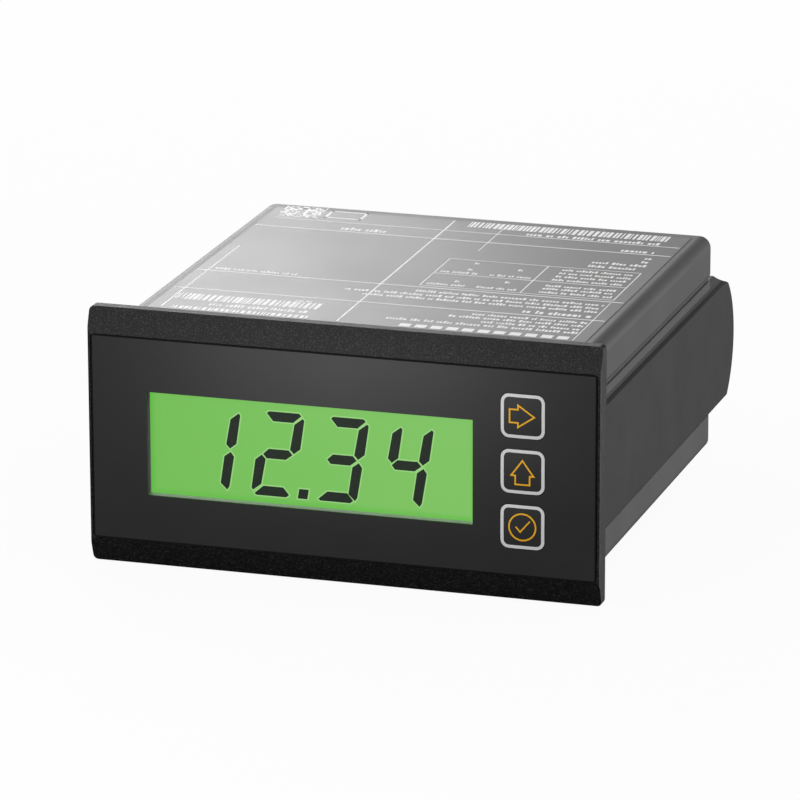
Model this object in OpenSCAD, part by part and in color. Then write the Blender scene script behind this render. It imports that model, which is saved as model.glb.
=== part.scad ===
// Digital panel meter: a loop-powered LCD indicator with a 96 x 48 mm front.
// +X is the viewer's right, +Y runs from the panel into the cabinet, +Z is up.
// The origin is the centre of the bezel's rear face.

/* [Front bezel] */
// Width of the bezel
bezel_w = 96; // [95.6:0.1:100]
// Height of the bezel
bezel_h = 48; // [47.4:0.1:52]
// Depth of the bezel over its flat middle
bezel_t = 3.7; // [3.3:0.1:4.5]
// Depth of the bezel at its top and bottom rims
bezel_rim_t = 2.05; // [1.6:0.05:2.6]
// Radius of the bezel's four corners seen from the front
bezel_corner_r = 0.9; // [0.4:0.1:1.6]
// Radius of the front edges of the bezel's two sides
bezel_edge_r = 0.4; // [0.2:0.05:0.5]
// Depth from the bezel's face to the rear of its front wall
front_wall_t = 1.9; // [1.8:0.05:2.2]

/* [Front foil] */
// Width of the bezel's rim left of and right of the foil
foil_rim_x = 0.7; // [0.6:0.05:1.4]
// Height of the bezel's strips above and below the foil
foil_rim_z = 4.85; // [4.2:0.05:5.4]
// Thickness of the front foil
overlay_t = 0.3; // [0.2:0.05:0.4]
// Corner radius of the front foil
overlay_r = 0.8; // [0.3:0.1:2]
// Gap between the foil and the wall of its pocket
overlay_gap = 0.15; // [0.1:0.05:0.25]

/* [Display] */
// Distance from the bezel's left side to the display opening
display_left = 11.2; // [10:0.1:13]
// Distance from the display opening to the keys' centre line
display_right = 9.25; // [9:0.05:11]
// Distance from the bezel's upper edge to the display opening
display_above = 14.9; // [14.5:0.05:16]
// Distance from the bezel's lower edge to the display opening
display_below = 13.6; // [13.2:0.05:15]
// Width of the adhesive ring under the clear window's edge
tape_w = 1.2; // [0.8:0.1:1.3]
// Thickness of the adhesive ring between the window and the LCD
tape_t = 0.15; // [0.13:0.01:0.3]
// Width of the LCD cell's margin beside the opening
lcd_margin_x = 1.55; // [1:0.05:1.7]
// Height of the LCD cell's margin above and below the opening
lcd_margin_z = 2.25; // [2:0.05:2.4]
// Thickness of the LCD cell
lcd_t = 2.6; // [2:0.1:2.8]
// Wall of the frame that holds the LCD
lcd_frame_wall = 1.2; // [0.9:0.1:1.3]
// Thickness of the light guide behind the LCD
light_guide_t = 3; // [2:0.1:3]
// Margin above and below the digits
digit_margin = 1.8; // [1.3:0.05:4]
// Width of an upright digit
digit_w = 8.1; // [7:0.1:9]
// Distance from one digit to the next
digit_pitch = 12.1; // [11:0.1:13]
// Slant of the digits, in degrees
digit_slant = 9.2; // [0:0.2:12]
// Width of a segment
segment_w = 1.8; // [1.2:0.05:2]

/* [Keys] */
// Side of a square key
key_size = 8.1; // [7:0.1:8.3]
// Corner radius of a key
key_r = 1.5; // [0.8:0.1:2]
// Distance from one key to the next
key_pitch = 10.25; // [10:0.05:10.5]
// Distance from the bezel's right side to the keys' centre line
key_side = 14.25; // [13.8:0.05:14.5]
// Position of the middle key along Z
key_z = 0.3; // [0:0.05:0.4]
// Gap between a key and its opening
key_gap = 0.1; // [0.08:0.01:0.15]
// Crown of a key above the foil at its middle
key_crown = 0.2; // [0.1:0.05:0.4]
// Width of the flange that keeps a key in its opening
key_flange = 0.6; // [0.3:0.05:0.7]
// Diameter of the stem behind a key
key_stem_d = 2.6; // [2:0.1:3]
// Side of a tact switch
switch_size = 6; // [5:0.1:6.2]
// Height of a tact switch above the board
switch_h = 3.4; // [3:0.1:3.6]
// Diameter of a tact switch's plunger
plunger_d = 3.4; // [3:0.1:3.6]

/* [Circuit boards] */
// Thickness of both boards
board_t = 1.6; // [1:0.1:1.6]
// Length of the bosses that carry the display board
boss_len = 6.8; // [6.7:0.1:7.4]
// Diameter of those bosses
boss_d = 4.2; // [3.6:0.1:4.4]
// Play round the display board
display_board_gap = 0.6; // [0.3:0.1:1]
// Distance from the housing's bottom to the main board's middle plane
main_board_rise = 13.75; // [13:0.05:14.2]
// Gap between the two boards
board_gap = 2.4; // [2:0.1:3]

/* [Housing] */
// Play between the housing and the bezel's collar
body_gap = 0.1; // [0.05:0.05:0.2]
// Depth of the housing behind the bezel
body_len = 87.6; // [84:0.2:120]
// Wall of the housing
body_wall = 1.8; // [1.5:0.1:2]
// Radius of the two upper long edges
body_top_r = 2.2; // [1:0.1:3]
// Radius of the two lower long edges
body_bottom_r = 1.9; // [1:0.1:3]
// Overlap of the bezel on the panel beside its collar
lap_x = 2.4; // [2.2:0.05:3]
// Overlap of the bezel on the panel above and below its collar
lap_z = 1.95; // [1.8:0.05:2.4]
// Wall of the collar, which passes through the panel
collar_wall = 1; // [0.8:0.05:1.2]
// Depth of the collar behind the bezel
collar_len = 5.5; // [5:0.1:6]
// Thickness of the flat panel gasket
gasket_t = 0.8; // [0.5:0.1:1]
// Width of the bare edge beside the rating label on the top
label_side = 3.2; // [3:0.1:10]
// Thickness of the rating label
label_t = 0.12; // [0.08:0.01:0.2]
// Thickness of the rear cover
cover_t = 1.8; // [1.4:0.1:2.2]

/* [Panel clamps] */
// Thickness of a clamp
clamp_t = 1.7; // [1.5:0.05:1.8]
// Thickness of the tongues that run under the housing's lips
tongue_t = 0.7; // [0.5:0.05:0.8]
// Clearance round the tongues
clamp_gap = 0.1; // [0.06:0.01:0.15]
// Height of the housing's side above the clamp's slot
side_above = 10.2; // [9.8:0.05:10.6]
// Height of the housing's side below the clamp
side_below = 6.75; // [6.4:0.05:7.2]
// Open part of the slot above the clamp's plate
slot_open = 2.05; // [1.8:0.05:2.4]
// Room for the panel between the gasket and a clamp's foot
panel_room = 2.1; // [2.1:0.1:3]
// Reach of the upper tongue under its lip
tongue_reach = 0.85; // [0.5:0.05:1]
// Reach of the upper tongue behind the housing
tongue_overhang = 6.1; // [4:0.1:9]
// Reach of a clamp behind the housing
clamp_overhang = 19.1; // [17:0.1:22]
// Bulge of the thumb grip at the clamp's rear end
grip_bulge = 4.85; // [3:0.05:6]
// Thickness of the clamp's foot
foot_t = 1.2; // [1:0.1:1.4]
// Reach of the foot beyond the housing's side
foot_reach = 2.2; // [1.6:0.1:2.2]
// Pitch of the ratchet teeth
tooth_pitch = 1.5; // [1.2:0.1:2]
// Number of ratchet teeth on each side
tooth_count = 20; // [10:1:24]

/* [Terminals] */
// Number of poles
pole_count = 2; // [1:1:4]
// Distance from one pole to the next
pole_pitch = 5.08; // [5.08:0.01:5.5]
// Distance from the housing's right side to the terminals' centre
terminal_side = 24.5; // [20:0.5:28]
// Height of the terminal plug
plug_h = 11.6; // [11:0.1:12]
// Depth of the plug behind the rear cover
plug_d = 13; // [12:0.1:15]
// Diameter of a wire entry
wire_d = 3.2; // [2.6:0.1:3.3]
// Diameter of a terminal screw's shank
screw_d = 2.5; // [2:0.1:2.5]
// Distance from the housing's left side to the DIP switch's centre
dip_side = 32.5; // [24:0.5:38]
// Travel of a DIP slider
dip_travel = 1.6; // [1:0.1:1.7]

/* [Hidden] */
$fn = 48;
eps = 0.01;

// Outlines that follow from the bezel, from the outside in
overlay_w = bezel_w - 2 * foil_rim_x;
overlay_h = bezel_h - 2 * foil_rim_z;
collar_w = bezel_w - 2 * lap_x;
collar_h = bezel_h - 2 * lap_z;
body_w = collar_w - 2 * collar_wall - 2 * body_gap;
body_h = collar_h - 2 * collar_wall - 2 * body_gap;
key_x = bezel_w / 2 - key_side;
window_w = bezel_w - display_left - display_right - key_side;
window_h = bezel_h - display_above - display_below;
lcd_x = -bezel_w / 2 + display_left + window_w / 2;
lcd_z = -bezel_h / 2 + display_below + window_h / 2;
lcd_w = window_w + 2 * lcd_margin_x;
lcd_h = window_h + 2 * lcd_margin_z;
digit_h = window_h - 2 * digit_margin;

// Planes of the front stack, from the face back
face_y = -bezel_t;
pocket_y = face_y + overlay_t;
wall_y = face_y + front_wall_t;
lcd_rear_y = wall_y + lcd_t;
guide_y = lcd_rear_y + 0.1;
display_board_y = wall_y + boss_len;
display_board_rear_y = display_board_y + board_t;

// Inside of the housing: wide above and below the clamp recesses, narrow between them
cavity_half_w = body_w / 2 - body_wall;
cavity_half_h = body_h / 2 - body_wall;
recess_x = body_w / 2 - clamp_t - clamp_gap;
rack_depth = 0.6;
waist_half_w = recess_x - rack_depth - 1.3;
lip_x = body_w / 2 - clamp_t + tongue_t + clamp_gap;
lip_z = body_h / 2 - side_above;
clamp_top_z = lip_z - slot_open;
clamp_bottom_z = side_below - body_h / 2;
tongue_top_z = lip_z + tongue_reach;
tongue_bottom_z = clamp_bottom_z - tongue_reach;
waist_top_z = tongue_top_z + clamp_gap + 1.6;
waist_bottom_z = tongue_bottom_z - clamp_gap - 1.6;
clamp_mid_z = (clamp_top_z + clamp_bottom_z) / 2;
groove_z = lip_z + 1.6;

// Boards
display_board_w = 2 * (waist_half_w - display_board_gap);
display_board_h = 2 * (cavity_half_h - display_board_gap);
main_board_z = main_board_rise - body_h / 2;

// Rear of the housing
cover_y = body_len - cover_t;
cover_gap = 0.1;
rear_screw_head_d = 3.9;
board_top_z = main_board_z + board_t / 2;
main_board_y = display_board_rear_y + board_gap;
main_board_end = cover_y - 6;
main_board_half_w = waist_half_w - 0.2;
rear_boss_x = cavity_half_w - 2;
rear_boss_z = cavity_half_h - 2;
rear_boss_d = 4.6;
rear_boss_len = 10;
rear_screw_d = 2;
rear_hold = 8;
board_screw_d = 1.8;
board_screw_head_d = 3.8;
board_hole_d = 2.4;
screw_hold = 5.4;

// Terminal plug and its socket
terminal_x = body_w / 2 - terminal_side;
plug_w = pole_count * pole_pitch + 5;
socket_wall = 1.2;
socket_h = plug_h - 1.4;
socket_y = cover_y - 10.2;
terminal_z = board_top_z + socket_h / 2;
plug_y = body_len + 0.3;
cage_w = 3.9;
cage_d = 4.2;
cage_h = 5.4;
cage_wall = 0.8;
cage_travel = 1.8;
cage_y = plug_y + 6.5;
cage_z = terminal_z - plug_h / 2 + 1.2;
screw_head_d = 3.6;
screw_head_h = 1.4;
screw_head_z = terminal_z + plug_h / 2 - 2;

// Builders: a flat outline is carried along one axis
module along_x(x0, x1) translate([x0, 0, 0]) rotate([90, 0, 90]) linear_extrude(x1 - x0) children();
module along_y(y0, y1) translate([0, y1, 0]) rotate([90, 0, 0]) linear_extrude(y1 - y0) children();
module along_z(z0, z1) translate([0, 0, z0]) linear_extrude(z1 - z0) children();
module disc_y(x, z, y0, y1, d) translate([x, 0, z]) along_y(y0, y1) circle(d = d);

module round_rect(w, h, r) {
    square([w - 2 * r, h], center = true);
    square([w, h - 2 * r], center = true);
    for (sx = [-1, 1], sz = [-1, 1])
        translate([sx * (w / 2 - r), sz * (h / 2 - r)]) circle(r);
}

module both_sides() {
    children();
    mirror([1, 0, 0]) children();
}

key_steps = [1, 0, -1];
function key_place(i) = key_z + key_steps[i] * key_pitch;
boss_left_x = -display_board_w / 2 + boss_d / 2 + 0.3;
boss_right_x = lcd_x + lcd_w / 2 + lcd_frame_wall - boss_d / 2 - 1.3;
boss_z = display_board_h / 2 - boss_d / 2 - 0.2;
boss_places = [for (x = [boss_left_x, boss_right_x], s = [-1, 1]) [x, s * boss_z]];

// ---- Front ----

// The bezel's face is flat behind the foil, and its upper and lower strips
// fall back to the rims on one large arc.
strip_z = overlay_h / 2 + overlay_gap;
strip_centre_y = (pow(bezel_h / 2, 2) - pow(strip_z, 2) - pow(bezel_t, 2) + pow(bezel_rim_t, 2))
    / (2 * (bezel_t - bezel_rim_t));
strip_r = norm([strip_centre_y + bezel_t, strip_z]);

module bezel_side_profile() intersection() {
    translate([face_y, -bezel_h / 2]) square([bezel_t, bezel_h]);
    translate([strip_centre_y, 0]) circle(strip_r, $fn = 360);
}

module bezel_plan() {
    translate([-bezel_w / 2, face_y + bezel_edge_r]) square([bezel_w, bezel_t - bezel_edge_r]);
    translate([-bezel_w / 2 + bezel_edge_r, face_y]) square([bezel_w - 2 * bezel_edge_r, bezel_t]);
    for (s = [-1, 1]) translate([s * (bezel_w / 2 - bezel_edge_r), face_y + bezel_edge_r]) circle(bezel_edge_r);
}

module collar() difference() {
    along_y(-0.5, collar_len) difference() {
        round_rect(collar_w, collar_h, body_bottom_r + collar_wall);
        round_rect(collar_w - 2 * collar_wall, collar_h - 2 * collar_wall, body_bottom_r);
    }
    // Gaps in both sides let the clamps' feet reach the panel
    along_y(eps, collar_len + 1) translate([-bezel_w / 2, tongue_bottom_z - 0.5])
        square([bezel_w, tongue_top_z - tongue_bottom_z + 1]);
    // Windows for the housing's four snap lugs
    for (x = lug_places) translate([x - lug_w / 2 - 0.2, lug_y - 0.2, -bezel_h / 2])
        cube([lug_w + 0.4, lug_len + 0.4, bezel_h]);
}

// Frame-shaped body, hollow behind its front wall
module bezel_shell() difference() {
    intersection() {
        along_y(face_y, 0) round_rect(bezel_w, bezel_h, bezel_corner_r);
        along_x(-bezel_w / 2, bezel_w / 2) bezel_side_profile();
        along_z(-bezel_h / 2, bezel_h / 2) bezel_plan();
    }
    along_y(wall_y, 1) square([2 * waist_half_w - 0.4, 2 * cavity_half_h - 0.4], center = true);
}

module front_bezel() color("#1d1d1f") difference() {
    union() {
        bezel_shell();
        collar();
        // Bosses for the display board's screws
        for (p = boss_places) disc_y(p[0], p[1], wall_y - eps, display_board_y, boss_d);
    }
    along_y(face_y - 1, pocket_y)
        round_rect(overlay_w + 2 * overlay_gap, overlay_h + 2 * overlay_gap, overlay_r + overlay_gap);
    for (p = boss_places) disc_y(p[0], p[1], display_board_y - screw_hold, display_board_y + 1, board_screw_d);
    // Display opening, which the clear window fills under the foil's edge
    translate([lcd_x, 0, lcd_z]) along_y(face_y - 1, wall_y + 1)
        square([window_w + 2 * tape_w, window_h + 2 * tape_w], center = true);
    for (i = [0:2]) translate([key_x, 0, key_place(i)]) along_y(face_y - 1, wall_y + 1)
        round_rect(key_size + 2 * key_gap, key_size + 2 * key_gap, key_r + key_gap);
}

module front_overlay() color("#2b2b2e") along_y(face_y, pocket_y) difference() {
    round_rect(overlay_w, overlay_h, overlay_r);
    translate([lcd_x, lcd_z]) square([window_w, window_h], center = true);
    for (i = [0:2]) translate([key_x, key_place(i)])
        round_rect(key_size + 2 * key_gap, key_size + 2 * key_gap, key_r + key_gap);
}

window_play = 0.1;
module window_outline()
    square([window_w + 2 * tape_w - window_play, window_h + 2 * tape_w - window_play], center = true);

module display_window() color("#cfd8d0", 0.35) translate([lcd_x, 0, lcd_z])
    along_y(pocket_y, wall_y - tape_t) window_outline();

// Adhesive ring that holds the window off the cell's segments
module window_tape() color("#9a929a") translate([lcd_x, 0, lcd_z])
    along_y(wall_y - tape_t, wall_y) difference() {
        window_outline();
        square([window_w, window_h], center = true);
    }

gasket_inset = 0.5;
module panel_gasket() color("#111111") along_y(0, gasket_t) difference() {
    round_rect(bezel_w - 2 * gasket_inset, bezel_h - 2 * gasket_inset, bezel_corner_r);
    round_rect(collar_w + 2 * body_gap, collar_h + 2 * body_gap, body_bottom_r + collar_wall + body_gap);
}

// A key: a crowned pad, a flange behind the wall and a stem on the switch's plunger
key_flange_y = wall_y + 0.05;
key_flange_t = 0.8;
plunger_y = display_board_y - switch_h - 0.8;
key_sphere_r = (pow(key_size * 0.66, 2) + pow(key_crown, 2)) / (2 * key_crown);

module key_cap(i) color("#39393d") translate([key_x, 0, key_place(i)]) {
    intersection() {
        along_y(face_y - 1, key_flange_y + eps) round_rect(key_size, key_size, key_r);
        translate([0, face_y - key_crown + key_sphere_r, 0]) sphere(key_sphere_r, $fn = 160);
    }
    along_y(key_flange_y, key_flange_y + key_flange_t)
        square([key_size + 2 * key_flange, key_size + 2 * key_flange], center = true);
    disc_y(0, 0, key_flange_y, plunger_y, key_stem_d);
}

module switch_plunger(i) color("#8a8a86")
    disc_y(key_x, key_place(i), plunger_y, display_board_y - 1.4, plunger_d);

module key_right() key_cap(0);
module key_up() key_cap(1);
module key_enter() key_cap(2);
module plunger_right() switch_plunger(0);
module plunger_up() switch_plunger(1);
module plunger_enter() switch_plunger(2);

module tact_switches() color("#2a2a2a") for (i = [0:2]) difference() {
    translate([key_x, 0, key_place(i)]) {
        along_y(display_board_y - switch_h, display_board_y)
            square([switch_size, switch_size], center = true);
        // Four solder legs through the board
        for (sx = [-1, 1], sz = [-1, 1]) translate([sx * (switch_size / 2 - 0.5), 0, sz * 2.2])
            along_y(display_board_y - eps, display_board_rear_y + 0.8) square([0.7, 0.5], center = true);
    }
    disc_y(key_x, key_place(i), display_board_y - switch_h - 1, display_board_y - 0.9 + eps, plunger_d + 0.1);
}

// ---- Display ----

module lcd_glass() color("#7cc86a") translate([lcd_x, 0, lcd_z])
    along_y(wall_y, lcd_rear_y) square([lcd_w, lcd_h], center = true);

// Segments of one digit about its centre, before the slant: pointed bars with
// the same gap at each joint.
seg_out = digit_w / 2;
seg_top = digit_h / 2;
seg_in = seg_out - segment_w;
seg_top_bar = [
    [-seg_out + 0.8, seg_top - 0.32], [-seg_out + 1.2, seg_top], [seg_out - 1.25, seg_top],
    [seg_out - 0.77, seg_top - 0.44], [seg_in - 0.3, seg_top - segment_w],
    [-seg_in + 0.45, seg_top - segment_w]
];
seg_upper_post = [
    [seg_out - 0.45, seg_top - 0.92], [seg_out - 0.08, seg_top - 1.27], [seg_out, 1.27],
    [seg_out - 1.05, 0.3], [seg_in - 0.1, 1.08], [seg_in, seg_top - 2.12]
];
seg_lower_post = [
    [seg_out - 0.85, -0.32], [seg_out - 0.07, -1.2], [seg_out - 0.1, -seg_top + 1.07],
    [seg_out - 0.43, -seg_top + 0.47], [seg_in - 0.05, -seg_top + 1.67], [seg_in - 0.1, -1.2]
];
seg_mid_bar = [
    [-seg_out + 1.3, -0.1], [-seg_out + 2.2, segment_w / 2], [seg_out - 2.15, segment_w / 2],
    [seg_out - 1.3, 0.06], [seg_out - 2.4, -segment_w / 2], [-seg_out + 2.05, -segment_w / 2]
];
function flip(points, sx, sz) = [for (p = points) [sx * p[0], sz * p[1]]];
function moved(points, dx) = [for (p = points) [p[0] + dx, p[1]]];
function slanted(points) = [for (p = points) [p[0] + tan(digit_slant) * p[1], p[1]]];
function segment(name) =
    name == "a" ? seg_top_bar : name == "b" ? seg_upper_post :
    name == "c" ? seg_lower_post : name == "d" ? flip(seg_top_bar, 1, -1) :
    name == "e" ? flip(seg_upper_post, -1, -1) : name == "f" ? moved(seg_upper_post, -seg_in - seg_out + 0.5) :
    seg_mid_bar;
shown_digits = ["bc", "abged", "abgcd", "fgbc"];
segment_t = 0.1;
digit_off_x = -0.35;
digit_off_z = -0.42;
point_off = -0.15;

module lcd_segments() color("#16301c") translate([lcd_x + digit_off_x, 0, lcd_z + digit_off_z])
    along_y(wall_y - segment_t, wall_y) {
        for (i = [0:3], name = shown_digits[i]) translate([(i - 1.5) * digit_pitch, 0])
            polygon(slanted(segment(name)));
        // Decimal point between the second and third digits
        polygon(slanted([for (c = [[-1, -1], [1, -1], [1, 1], [-1, 1]])
            [point_off + c[0] * segment_w / 2, -seg_top + segment_w / 2 + c[1] * segment_w / 2]]));
    }

// Holder round the cell: it stands on the display board and presses the cell forward
module lcd_frame() color("#d9dcd6") translate([lcd_x, 0, lcd_z]) difference() {
    along_y(wall_y, display_board_y)
        square([lcd_w + 2 * lcd_frame_wall, lcd_h + 2 * lcd_frame_wall], center = true);
    along_y(wall_y - 1, lcd_rear_y) square([lcd_w + 0.1, lcd_h + 0.1], center = true);
    along_y(wall_y, display_board_y + 1) square([window_w + 0.4, window_h + 0.2], center = true);
    for (s = [-1, 1]) translate([0, 0, s * zebra_z]) along_y(wall_y, display_board_y + 1)
        square([zebra_w + 0.1, zebra_t + 0.1], center = true);
}

zebra_end = 3.2;
zebra_edge = 0.4;
zebra_w = lcd_w - 2 * zebra_end;
zebra_t = 1.4;
zebra_z = lcd_h / 2 - zebra_t / 2 - zebra_edge;
module zebra_strips() color("#e8b0b8") for (s = [-1, 1]) translate([lcd_x, 0, lcd_z + s * zebra_z])
    along_y(lcd_rear_y, display_board_y) square([zebra_w, zebra_t], center = true);

module light_guide() color("#d8f0d0") translate([lcd_x, 0, lcd_z]) {
    along_y(guide_y, guide_y + light_guide_t) square([window_w, window_h - 0.2], center = true);
    // Four feet set the guide on the board
    for (sx = [-1, 1], sz = [-1, 1]) disc_y(sx * (window_w / 2 - 3), sz * (window_h / 2 - 3),
        guide_y + eps, display_board_y, 2);
}

led_pitch = 14;
led_w = 3;
led_h = 1.4;
module backlight_leds() color("#f2f2c8") for (i = [-1.5:1.5]) translate([lcd_x + i * led_pitch, 0, lcd_z])
    along_y(guide_y + light_guide_t + 0.1, display_board_y) square([led_w, led_h], center = true);

// ---- Boards ----

link_pins = 8;
link_pitch = 2.54;
link_pin = 0.64;
link_block = 2.5;
link_z = board_top_z + link_block / 2;
link_block_y = main_board_y + 0.4;
function link_x(i) = (i - (link_pins - 1) / 2) * link_pitch;

module display_board() color("#1f5a35") difference() {
    along_y(display_board_y, display_board_rear_y) square([display_board_w, display_board_h], center = true);
    for (p = boss_places) disc_y(p[0], p[1], display_board_y - 1, display_board_rear_y + 1, board_hole_d);
    for (i = [0:link_pins - 1]) disc_y(link_x(i), link_z, display_board_y - 1, display_board_rear_y + 1, 1.1);
    for (i = [0:2], sx = [-1, 1], sz = [-1, 1])
        disc_y(key_x + sx * (switch_size / 2 - 0.5), key_place(i) + sz * 2.2,
            display_board_y - 1, display_board_rear_y + 1, 1);
}

module pan_screw(x, z, head_y, len, d, head_d) difference() {
    union() {
        disc_y(x, z, head_y - len, head_y + eps, d);
        disc_y(x, z, head_y, head_y + 1.4, head_d);
    }
    // Cross recess
    for (a = [0, 90]) translate([x, 0, z]) rotate([0, a, 0])
        translate([-head_d * 0.3, head_y + 0.6, -0.25]) cube([head_d * 0.6, 2, 0.5]);
}

module board_screws() color("silver")
    for (p = boss_places)
        pan_screw(p[0], p[1], display_board_rear_y, board_t + screw_hold - 0.4,
            board_screw_d, board_screw_head_d);

// Right-angle header: eight pins bent from the display board down into the main board
module board_link() color("#222222") {
    translate([-link_pins * link_pitch / 2, link_block_y, board_top_z])
        cube([link_pins * link_pitch, link_block, link_block]);
    for (i = [0:link_pins - 1]) translate([link_x(i), 0, 0]) {
        along_y(display_board_y - link_pin, link_block_y + link_block / 2 + link_pin / 2)
            translate([0, link_z]) square([link_pin, link_pin], center = true);
        translate([0, link_block_y + link_block / 2, 0]) along_z(main_board_z - board_t / 2 - link_pin, link_z)
            square([link_pin, link_pin], center = true);
    }
}

// Parts on the main board: places from its left side and its front edge
cap_x = [31.6, 42.6];
cap_y = 46;
cap_d = 8;
cap_h = 11;
choke_x = 14.6;
choke_y = 44;
choke_d = 10;
choke_core_d = 7.8;
choke_h = 7.6;
choke_rim = 1.2;
cpu_x = 26.6;
cpu_y = 20;
cpu_w = 10;
cpu_t = 1.4;
cpu_foot = 1.3;
cpu_pin_pitch = 1.1;
chip_x = 42;
chip_y = 14;
chip_pitch = 4;
chip_w = 1.6;
chip_l = 3.2;
chip_t = 0.6;

module main_board() color("#1f5a35") difference() {
    translate([-main_board_half_w, main_board_y, main_board_z - board_t / 2])
        cube([2 * main_board_half_w, main_board_end - main_board_y, board_t]);
    for (i = [0:link_pins - 1]) translate([link_x(i), link_block_y + link_block / 2, main_board_z - board_t])
        cylinder(h = 2 * board_t, d = 1.1);
    for (i = [0:pole_count - 1]) translate([pole_x(i), socket_y + 1.6, main_board_z - board_t])
        cylinder(h = 2 * board_t, d = 1.5);
    for (i = [0, 1]) translate([dip_pin_x(i), dip_y + 1, main_board_z - board_t])
        cylinder(h = 2 * board_t, d = 0.9);
}

module on_board(x, y) translate([x - main_board_half_w, main_board_y + y, board_top_z]) children();

module microcontroller() color("#202022") on_board(cpu_x, cpu_y) {
    translate([-cpu_w / 2, -cpu_w / 2, cpu_t / 10]) cube([cpu_w, cpu_w, cpu_t]);
    for (a = [0:90:270], i = [-3.5:3.5]) rotate([0, 0, a])
        translate([(i - 0.2) * cpu_pin_pitch, cpu_w / 2 - cpu_foot / 4, 0])
            cube([0.4 * cpu_pin_pitch, cpu_foot, cpu_foot / 4]);
}

module can_profile(d, h) polygon([
    [0, 0], [d / 2 + 0.2, 0], [d / 2 + 0.2, 0.8], [d / 2, 1], [d / 2, 2.2], [d / 2 - 0.4, 2.5],
    [d / 2, 2.8], [d / 2, h - 0.4], [d / 2 - 0.4, h], [0, h]
]);

module capacitors() color("#2c3a66") for (x = cap_x)
    on_board(x, cap_y) rotate_extrude() can_profile(cap_d, cap_h);

module choke() color("#5a3a24") on_board(choke_x, choke_y)
    rotate_extrude() polygon([
        [0, 0], [choke_d / 2, 0], [choke_d / 2, choke_rim], [choke_core_d / 2, 1.5 * choke_rim],
        [choke_core_d / 2, choke_h - 1.5 * choke_rim], [choke_d / 2, choke_h - choke_rim],
        [choke_d / 2, choke_h], [0, choke_h]
    ]);

module resistors() color("#3f4a52") for (i = [0:5])
    on_board(chip_x + i * chip_pitch, chip_y) cube([chip_w, chip_l, chip_t]);

// ---- Housing ----

module body_outline() {
    square([body_w, body_h - 2 * max(body_top_r, body_bottom_r)], center = true);
    for (s = [-1, 1]) {
        r = s > 0 ? body_top_r : body_bottom_r;
        translate([-body_w / 2 + r, s > 0 ? 0 : -body_h / 2]) square([body_w - 2 * r, body_h / 2]);
        translate([-body_w / 2, s > 0 ? 0 : -body_h / 2 + r]) square([body_w, body_h / 2 - r]);
        for (side = [-1, 1]) translate([side * (body_w / 2 - r), s * (body_h / 2 - r)]) circle(r);
    }
}

module cavity_outline(gap = 0) {
    square([2 * (waist_half_w - gap), 2 * (cavity_half_h - gap)], center = true);
    translate([-cavity_half_w + gap, waist_top_z + gap])
        square([2 * (cavity_half_w - gap), cavity_half_h - waist_top_z - 2 * gap]);
    translate([-cavity_half_w + gap, -cavity_half_h + gap])
        square([2 * (cavity_half_w - gap), cavity_half_h + waist_bottom_z - 2 * gap]);
}

// T-shaped recess in the right side for the clamp, with a shallow channel for the rack
module clamp_recess() {
    translate([lip_x - eps, clamp_bottom_z - clamp_gap])
        square([body_w, lip_z - clamp_bottom_z + clamp_gap]);
    translate([recess_x, tongue_bottom_z - clamp_gap])
        square([lip_x - recess_x, tongue_top_z - tongue_bottom_z + 2 * clamp_gap]);
    translate([recess_x - rack_depth, clamp_mid_z - rack_w / 2]) square([rack_depth + eps, rack_w]);
    // Line along the lip: a cove that ends on a sharp lower edge
    translate([body_w / 2, groove_z]) polygon([
        [1, 0], [0, 0], [-groove_depth * 0.8, 0.05], [-groove_depth, 0.25], [-groove_depth * 0.6, 0.6],
        [-groove_depth * 0.22, 1], [0, 1.35], [1, 1.35]
    ]);
}

groove_depth = 0.55;
rack_w = 4;
rack_y = 8;
rack_tip = 0.1;
// Saw teeth that hold the clamp against the panel, drawn as one outline
module rack() along_z(clamp_mid_z - rack_w / 2 - eps, clamp_mid_z + rack_w / 2 + eps) polygon([
    [recess_x - rack_depth - 0.2, rack_y],
    for (i = [0:tooth_count - 1]) each [
        [recess_x - rack_depth, rack_y + i * tooth_pitch],
        [recess_x - rack_tip, rack_y + (i + 1) * tooth_pitch - 0.1]
    ],
    [recess_x - rack_depth - 0.2, rack_y + tooth_count * tooth_pitch]
]);

lug_w = 8;
lug_y = 1.6;
lug_len = 3;
lug_h = 0.6;
lug_places = [-25, 25];

module snap_lug(x) along_x(x - lug_w / 2, x + lug_w / 2) for (s = [-1, 1]) polygon([
    [lug_y, s * (body_h / 2 - 0.3)], [lug_y, s * (body_h / 2 + lug_h)],
    [lug_y + lug_len / 3, s * (body_h / 2 + lug_h)], [lug_y + lug_len, s * (body_h / 2 - 0.3)]
]);

module board_guides() for (s = [-1, 1])
    translate([waist_half_w - 1.6, main_board_y, main_board_z + s * (board_t / 2 + 0.7) - 0.6])
        cube([1.6 + 0.3, main_board_end - main_board_y, 1.2]);

module housing() color("#3a3c3e") {
    difference() {
        union() {
            along_y(0, body_len) difference() {
                body_outline();
                cavity_outline();
                clamp_recess();
                mirror([1, 0]) clamp_recess();
            }
            both_sides() {
                rack();
                board_guides();
            }
            for (x = lug_places) snap_lug(x);
            intersection() {
                for (sx = [-1, 1], sz = [-1, 1])
                    disc_y(sx * rear_boss_x, sz * rear_boss_z, cover_y - rear_boss_len, cover_y, rear_boss_d);
                along_y(0, body_len) square([2 * cavity_half_w + 1, 2 * cavity_half_h + 1], center = true);
            }
        }
        for (sx = [-1, 1], sz = [-1, 1])
            disc_y(sx * rear_boss_x, sz * rear_boss_z, cover_y - rear_hold, body_len + 1, rear_screw_d);
    }
}

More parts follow.
